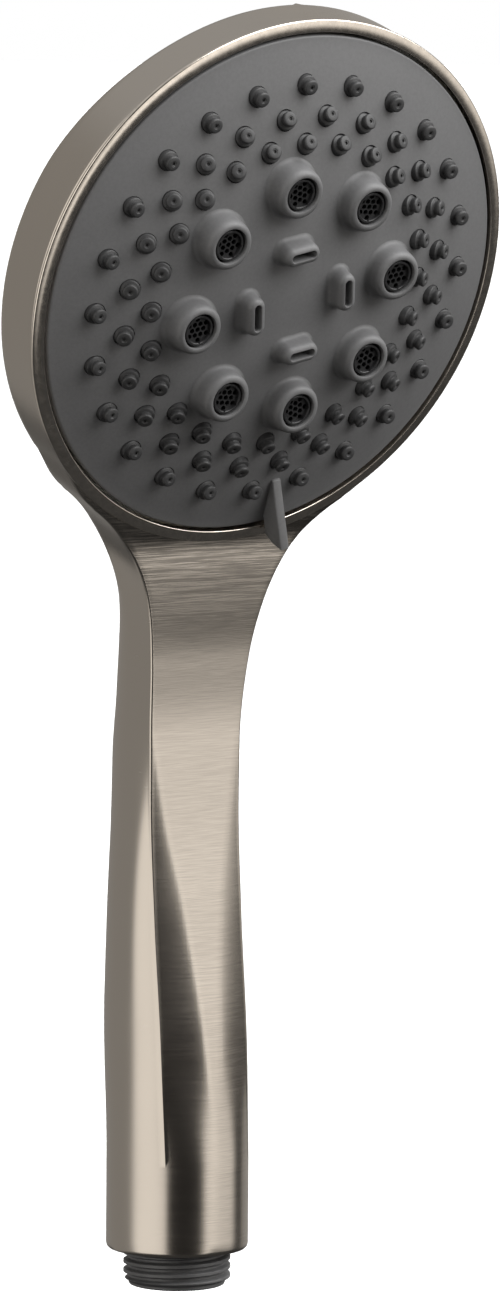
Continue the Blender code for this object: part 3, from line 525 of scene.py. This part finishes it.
# One closed section: front between its two corners, flanks and rounded back.
def shellRow(z, inset=0.0):
    flare = 10.0 * 2.0 ** ((min(z, 180.0) - flareStart) / flareDoubling)
    front = planeFront(z, shell["seat"]) if z > shell["flatEnd"] else through(shell["front"], z)
    lean = math.tan(tilt) * smooth(*shell["lean"], z)
    up = upHead(z, front)
    corner = through(shell["width"], z) + flare
    side = through(shell["side"], z) + flare
    bulge = through(shell["bulge"], z)
    if up > shell["meet"]:
        reach = shell["radius"] + 1.4 * (1 - smooth(shell["meet"], -36, up))
        chord = math.sqrt(max(reach ** 2 - up ** 2, 0.0))
        corner, side = min(corner, chord), min(side, chord)
    roundness = min(1.0, bulge / (arcDrop * handleRadius))
    wallEnd = shell["wallEnd"] + shell["wallLow"] * (1 - smooth(-58, -34, up))
    wallEnd += shell["wallHigh"] * smooth(18, 50, up)
    intoHead = smooth(headFrom, headTo, z)
    backEnd = alongRow(z, front, lean, wallEnd) * intoHead
    if up < -49:
        back = through(shell["back"], z + lean * (front + 8.0))
    else:
        back = alongRow(z, front, lean, shell["ridge"] + 8 * smooth(-25, 5, up))
    ridgeHalf = side
    if up > shell["meet"]:
        ridgeHalf = min(side, shell["ridgeWidth"] * (1 - 0.8 * (z - 153.3) / 43.6))
    diagonal = inset * (1 - arcDrop * roundness)
    corner, side, front = corner - diagonal, side - inset, front - diagonal
    back, ridgeHalf = back - inset, max(ridgeHalf - inset, 1.0)
    backEnd -= inset * intoHead
    bulge *= 1 - inset / handleRadius
    power = 2.0 + 0.5 * smooth(25, 57, z) - 0.95 * smooth(115, headTo, z)
    rounding = min(shell["corner"], 0.4 * corner) * (1 - roundness)
    half = []
    flat = through(shell["flat"], z)
    creased = smooth(25, 50, z)
    for i in range(17):
        t = i / 16
        past = max(0.0, t - flat) / (1 - flat)
        arc = (math.sqrt(1 - t * t / 2) - arcTop) / arcDrop
        rise = (1 - creased) * arc + creased * (1 - past ** 1.2)
        half.append(((corner - rounding) * t, -front - bulge * rise))
    for i in range(1, 4):
        a = math.radians(22.5 * i)
        half.append((corner - rounding * (1 - math.sin(a)), -front + rounding * (1 - math.cos(a))))
    for i in range(10):
        u = 1 - i / 10
        start = -front + rounding
        out = math.sqrt(max(side ** 2 - (side ** 2 - corner ** 2) * u * u, 0.0))
        half.append((out, backEnd - (backEnd - start) * u))
    steps = 26
    joined = smooth(-57, -50, up)
    for i in range(steps + 1):
        a = 0.5 * math.pi * i / steps
        x = side * math.cos(a) ** (2 / power) if i < steps else 0.0
        along = min(1.0, x / ridgeHalf)
        y = backEnd + (back - backEnd) * (1 - along ** power) ** (1 / power)
        if joined:
            rest = 1 - min(1.0, (x * x + up * up) / shell["radius"] ** 2)
            height = wallEnd - shell["crown"] * rest - shell["soft"] * rest ** 0.25
            cap = alongRow(z, front, lean, height)
            y += joined * (-softer(-y, -cap, 0.8 * smooth(0, 3, side - x)) - y)
        half.append((x, y))
    row = half + [(-x, y) for x, y in reversed(half[1:-1])]
    return [(x, y, z + lean * (y + front)) for x, y in row]


def makeShell():
    low = threadTop
    rows = [[(x, y, low) for x, y, z in shellRow(low, 1.0)]]
    for inset, lift in ((0.45, 0.12), (0.15, 0.42), (0.0, 1.0)):
        rows.append([(x, y, low + lift) for x, y, z in shellRow(low, inset)])
    heights = [10 + 1.5 * n for n in range(int(136 / 1.5) + 1)]
    heights = [z for z in heights if z < shell["flatEnd"]]
    base = headCentre.z - math.sin(tilt) * shell["seat"]
    start = math.degrees(math.asin(-0.995))
    ups = [shell["radius"] * math.sin(math.radians(start + (90 - start) * i / 110)) for i in range(111)]
    heights += [base + math.cos(tilt) * up for up in ups]
    heights = [z for i, z in enumerate(heights) if i == 0 or z > heights[i - 1] + 0.01]
    rows += [shellRow(z) for z in heights]
    bm = bmesh.new()
    gather(rows, bm, ends=True)
    outer = objectFrom(bm, "handsetShell")
    bore = [[(x, y, low - 1) for x, y, z in shellRow(low, shell["wall"])]]
    bore += [shellRow(z, shell["wall"]) for z in hollow["boreRows"]]
    bm = bmesh.new()
    gather(bore, bm, ends=True)
    hole = objectFrom(bm, "handleBore")
    floor = []
    for share in (0.9, 0.8, 0.6, 0.4, 0.2, 0.0):
        height = hollow["floor"] - shell["crown"] * (1 - share ** 2) + shell["wall"]
        floor.append((hollow["floorRadius"] * share, height))
    wide, narrow, seat = hollow["seatRadius"], hollow["cartridgeRadius"], hollow["cartridgeSeat"]
    steps = [(0, 2), (wide, 2), (wide, seat), (narrow, seat), (narrow, floor[0][1] + 0.8)]
    bm = bmesh.new()
    turnRound(steps + floor, 160, headPlace, bm)
    inside = objectFrom(bm, "headHollow")
    carve(inside, hole, "UNION")
    carve(outer, inside, sharp=32)
    finishPiece(outer, shellNickel, "handset", "brushed_nickel", "body_shell")


makeShell()
print("handset shell made")


# trim ring

trim = {"inner": 51.0, "outer": 53.33, "top": 0.2, "slope": 13.0, "skirt": 51.6, "foot": -3.3, "seat": -0.8}


def makeTrimRing():
    inner, outer, top = trim["inner"], trim["outer"], trim["top"]
    profile = [(inner, trim["foot"])]
    for i in range(5):
        a = math.radians(90 - 22.5 * i)
        profile.append((inner + 0.18 - 0.18 * math.sin(a), top - 0.18 + 0.18 * math.cos(a)))
    low = top - (outer - inner - 0.5) * math.tan(math.radians(trim["slope"]))
    for i in range(6):
        a = math.radians(trim["slope"] + (90 - trim["slope"]) * i / 5)
        profile.append((outer - 0.3 + 0.3 * math.sin(a), low - 0.3 + 0.3 * math.cos(a)))
    profile += [(outer, trim["seat"]), (trim["skirt"], trim["seat"]), (trim["skirt"], trim["foot"])]
    bm = bmesh.new()
    turnRound(profile, 256, headPlace, bm)
    ring = objectFrom(bm, "trimRing")
    finishPiece(ring, ringNickelPaintedLight, "handset", "brushed_nickel", "trim_ring")


makeTrimRing()
print("trim ring made")


# spray face

face = {
    "radius": 50.3, "crown": 7.75, "skin": 2.0, "edge": 0.45, "foot": -3.0, "skirt": 2.0,
    "aerators": 8, "aeratorCircle": 22.6, "aeratorTop": 10.2, "aeratorBore": 3.5, "aeratorFlank": 5.0,
    "slots": 4, "slotCircle": 10.3, "slotTop": 11.2, "slotLong": 5.4, "slotWide": 1.5, "slotFlank": 1.95,
}
nozzles = {
    "rings": ((41.6, 0.0, 0.5), (35.7, 31.0, 0.0), (30.6, 31.0, 0.5)),
    "perRing": 24, "tip": 1.5, "base": 1.95, "length": 2.0, "bore": 0.3,
}

# a boss's side: how far out from its flank, and at what share of its height
bossFlank = (
    (0.95, 0.006), (0.62, 0.03), (0.36, 0.1), (0.2, 0.2), (0.1, 0.34), (0.04, 0.5), (-0.02, 0.66),
    (-0.12, 0.79), (-0.3, 0.89), (-0.55, 0.955), (-0.85, 0.99), (-1.05, 1.0),
)


def dome(radius):
    sphere = (face["radius"] ** 2 + face["crown"] ** 2) / (2 * face["crown"])
    return math.sqrt(sphere ** 2 - radius ** 2) - (sphere - face["crown"])


# A place on the face at a radius and an angle, leaning outwards.
def polar(radius, angle, height=0.0, lean=0.0):
    return (Matrix.Rotation(math.radians(angle), 4, "Z") @ Matrix.Translation((radius, 0, height))
            @ Matrix.Rotation(math.radians(lean), 4, "Y"))


def aroundFace(count):
    return [90 + 360 * i / count for i in range(count)]


def nozzlePlaces():
    places = []
    for radius, lean, turn in nozzles["rings"]:
        for angle in aroundFace(nozzles["perRing"]):
            places.append(polar(radius, angle + turn * 360 / nozzles["perRing"], dome(radius), lean))
    return places


# A steep-sided boss with a fillet at its foot and a bore, round or long across the radius.
def bossBody(circle, angle, top, flank, bore, half, bm):
    rows = []
    sides = 64
    turn = Matrix.Rotation(math.radians(angle), 4, "Z")
    for i in range(sides):
        a = 2 * math.pi * (i + 0.5) / sides
        shift = half * (1 if math.sin(a) > 0 else -1)
        row = []
        for grow, rise in bossFlank:
            x, y = circle + (flank + grow) * math.cos(a), (flank + grow) * math.sin(a) + shift
            base = dome(math.hypot(x, y))
            row.append(turn @ Vector((x, y, base + (top - base) * rise)))
        for inset, height in ((0.16, top), (0.05, top - 0.04), (0.0, top - 0.14), (0.0, 1.0)):
            x, y = circle + (bore + inset) * math.cos(a), (bore + inset) * math.sin(a) + shift
            row.append(turn @ Vector((x, y, height)))
        x, y = circle + (flank + 0.95) * math.cos(a), (flank + 0.95) * math.sin(a) + shift
        row.append(turn @ Vector((x, y, dome(math.hypot(x, y)) - 1.2)))
        rows.append([facePlace @ p for p in row])
    gather(rows + rows[:1], bm)


def racetrackRows(long, wide, bottom, top, place, steps=24):
    rows = []
    for height in (bottom, top):
        row = []
        for i in range(steps):
            a = 2 * math.pi * (i + 0.5) / steps
            shift = (long - wide) / 2 * (1 if math.sin(a) > 0 else -1)
            row.append(place @ Vector((wide / 2 * math.cos(a), wide / 2 * math.sin(a) + shift, height)))
        rows.append(row)
    return rows


# Every hole through the face in one tool.
def cutterFor(name):
    bm = bmesh.new()
    for place in nozzlePlaces():
        clear = nozzles["base"] + 0.12
        turnRound([(0, 2.5), (clear, 2.5), (clear, -4.0), (0, -4.0)], 20, facePlace @ place, bm)
    for angle in aroundFace(face["aerators"]):
        wide = face["aeratorBore"] + 0.8
        place = facePlace @ polar(face["aeratorCircle"], angle)
        turnRound([(0, 13), (wide, 13), (wide, -1), (0, -1)], 48, place, bm)
    for angle in aroundFace(face["slots"]):
        place = facePlace @ polar(face["slotCircle"], angle)
        gather(racetrackRows(face["slotLong"] + 0.8, face["slotWide"] + 0.8, 0, 14, place), bm, ends=True)
    return objectFrom(bm, name)


tab = {
    "thick": 1.95, "angle": -90.0,
    "outline": ((40.0, 2.3), (40.4, 3.3), (54.0, 6.7), (53.6, 3.8), (52.7, 0.9), (49.3, 0.9), (48.6, -0.6)),
}


# The selector fin over the ring.
def makeTab():
    bm = bmesh.new()
    place = facePlace @ Matrix.Rotation(math.radians(tab["angle"]), 4, "Z")
    half = tab["thick"] / 2
    rows = [[place @ Vector((r, y, h)) for r, h in tab["outline"]] for y in (-half, half)]
    gather(rows, bm, ends=True)
    bmesh.ops.bevel(bm, geom=list(bm.edges), offset=0.28 * mm, segments=3, affect="EDGES", profile=0.5)
    return objectFrom(bm, "selectorFin")


def makeFacePlate():
    edge = face["radius"] - face["edge"]
    rows = []
    sides = 192
    for i in range(sides + 1):
        angle = 360 * i / sides
        row = [(edge * n / 28, dome(edge * n / 28)) for n in range(29)]
        for n in range(1, 5):
            a = math.radians(22.5 * n)
            row.append((edge + face["edge"] * math.sin(a), dome(edge) - face["edge"] * (1 - math.cos(a))))
        row += [(face["radius"], face["foot"]), (face["radius"] - face["skirt"], face["foot"])]
        row += [(r, dome(r) - face["skin"]) for r in (48.3, 44, 36, 26, 14, 0)]
        spin = facePlace @ Matrix.Rotation(math.radians(angle), 4, "Z")
        rows.append([spin @ Vector((r, 0, h)) for r, h in row])
    bm = bmesh.new()
    gather(rows, bm)
    plate = objectFrom(bm, "sprayFace")
    carve(plate, cutterFor("faceHoles"))
    bm = bmesh.new()
    flank, bore, top = face["aeratorFlank"], face["aeratorBore"], face["aeratorTop"]
    for angle in aroundFace(face["aerators"]):
        bossBody(face["aeratorCircle"], angle, top, flank, bore, 0.0, bm)
    flank, bore, top = face["slotFlank"], face["slotWide"] / 2, face["slotTop"]
    half = (face["slotLong"] - face["slotWide"]) / 2
    for angle in aroundFace(face["slots"]):
        bossBody(face["slotCircle"], angle, top, flank, bore, half, bm)
    carve(plate, objectFrom(bm, "bosses"), "UNION")
    carve(plate, makeTab(), "UNION", 38)
    finishPiece(plate, faceGrey, "spray_face", "face_grey", "face_plate")


# The rubber mat with every nozzle: a collar, a waisted body, a rounded lip and a shallow bore.
def makeNozzles():
    base, tip, long, bore = nozzles["base"], nozzles["tip"], nozzles["length"], nozzles["bore"]
    profile = [(0, -2.6), (base - 0.1, -2.6), (base, -0.2), (base, 0.34), (base - 0.1, 0.46)]
    profile += [(base - 0.3, 0.52), (tip - 0.16, 0.66), (tip - 0.2, 0.85), (tip - 0.08, 1.15), (tip, 1.5)]
    profile += [(tip - 0.03, long - 0.22), (tip - 0.14, long - 0.07), (tip - 0.34, long), (bore + 0.3, long)]
    profile += [(bore + 0.22, long - 0.08), (bore + 0.06, long - 0.1), (bore, long - 0.16)]
    profile += [(bore, long - 0.4), (0, long - 0.4)]
    bm = bmesh.new()
    for place in nozzlePlaces():
        turnRound(profile, 20, facePlace @ place, bm)
    bodies = objectFrom(bm, "nozzleBodies")
    outer = [(r, dome(r) - 2.3) for r in (27.8, 31, 34, 37, 40, 42.5, 45.0)]
    inner = [(r, h - 1.2) for r, h in reversed(outer)]
    bm = bmesh.new()
    turnRound(outer + inner, 120, facePlace, bm)
    mat = objectFrom(bm, "nozzleMat")
    carve(mat, bodies, "UNION", 38)
    finishPiece(mat, nozzleRubber, "spray_face", "nozzle_rubber", "nozzle_mat")


makeFacePlate()
print("spray face made")
makeNozzles()
print("nozzles made")


# aerator inserts

insert = {
    "radius": 3.05, "lip": 2.55, "top": 9.75, "grid": 9.1, "foot": 6.0,
    "pitch": 1.24, "cell": 0.56, "reach": 2.2,
}


# A ring with a recessed honeycomb in each boss.
def makeInserts():
    for number, angle in enumerate(aroundFace(face["aerators"]), 1):
        place = facePlace @ polar(face["aeratorCircle"], angle)
        top, lip, outer = insert["top"], insert["lip"], insert["radius"]
        bm = bmesh.new()
        turnRound([(0, insert["grid"]), (lip - 0.05, insert["grid"]), (lip, top - 0.1), (lip + 0.1, top),
                   (outer - 0.12, top), (outer, top - 0.12), (outer, insert["foot"]), (0, insert["foot"])],
                  40, place, bm)
        piece = objectFrom(bm, f"aeratorInsert{number}")
        bm = bmesh.new()
        for row in range(-2, 3):
            for column in range(-3, 4):
                x = (column + 0.5 * (row % 2)) * insert["pitch"]
                y = row * insert["pitch"] * math.sin(math.radians(60))
                if math.hypot(x, y) > insert["reach"]:
                    continue
                cell = place @ Matrix.Translation((x, y, 0)) @ Matrix.Rotation(math.radians(30), 4, "Z")
                turnRound([(0, 11), (insert["cell"], 11), (insert["cell"], 4), (0, 4)], 6, cell, bm)
        carve(piece, objectFrom(bm, "cells"), "DIFFERENCE", 30)
        finishPiece(piece, aeratorDark, "spray_face", "aerator_dark", f"aerator_insert_{number}")


makeInserts()
print("aerators made")


# threaded inlet

thread = {
    "crest": 10.4775, "root": 9.45, "pitch": 1.814, "start": 1.0, "rim": 0.35,
    "bore": 6.3, "throat": 3.0, "socket": 4.3, "top": 25.0, "body": 11.0,
}


# A right-handed ridge with soft flanks that fades in and out.
def threadRadius(height, angle):
    turn = (height - thread["start"]) / thread["pitch"] - angle / (2 * math.pi)
    along = turn - math.floor(turn)
    ridge = smooth(0.12, 0.36, along) * (1 - smooth(0.66, 0.9, along))
    fade = smooth(thread["start"] - 0.5, thread["start"] + 0.5, height)
    fade *= 1 - smooth(threadTop - 0.7, threadTop, height)
    return thread["root"] + (thread["crest"] - thread["root"]) * ridge * fade


def makeInlet():
    body, socket, throat, bore = thread["body"], thread["socket"], thread["throat"], thread["bore"]
    rows = []
    sides = 120
    high = [thread["rim"] + (threadTop + 0.3 - thread["rim"]) * n / 84 for n in range(85)]
    for i in range(sides + 1):
        angle = 2 * math.pi * i / sides
        row = [(bore + 0.2, 0.0), (thread["root"] - 0.35, 0.0), (thread["root"] - 0.1, 0.12)]
        row += [(threadRadius(z, angle % (2 * math.pi)), z) for z in high]
        row += [(body, threadTop + 0.31), (body, thread["top"]), (socket, thread["top"])]
        row += [(socket, 17.0), (throat, 17.0), (throat, 14.0), (bore, 12.0), (bore, 0.2)]
        rows.append([Vector((r * math.cos(angle), r * math.sin(angle), z)) for r, z in row])
    bm = bmesh.new()
    gather(rows, bm)
    inlet = objectFrom(bm, "threadedInlet", 50)
    finishPiece(inlet, threadGrey, "handset", "thread_grey", "inlet_connector")


makeInlet()
print("inlet made")
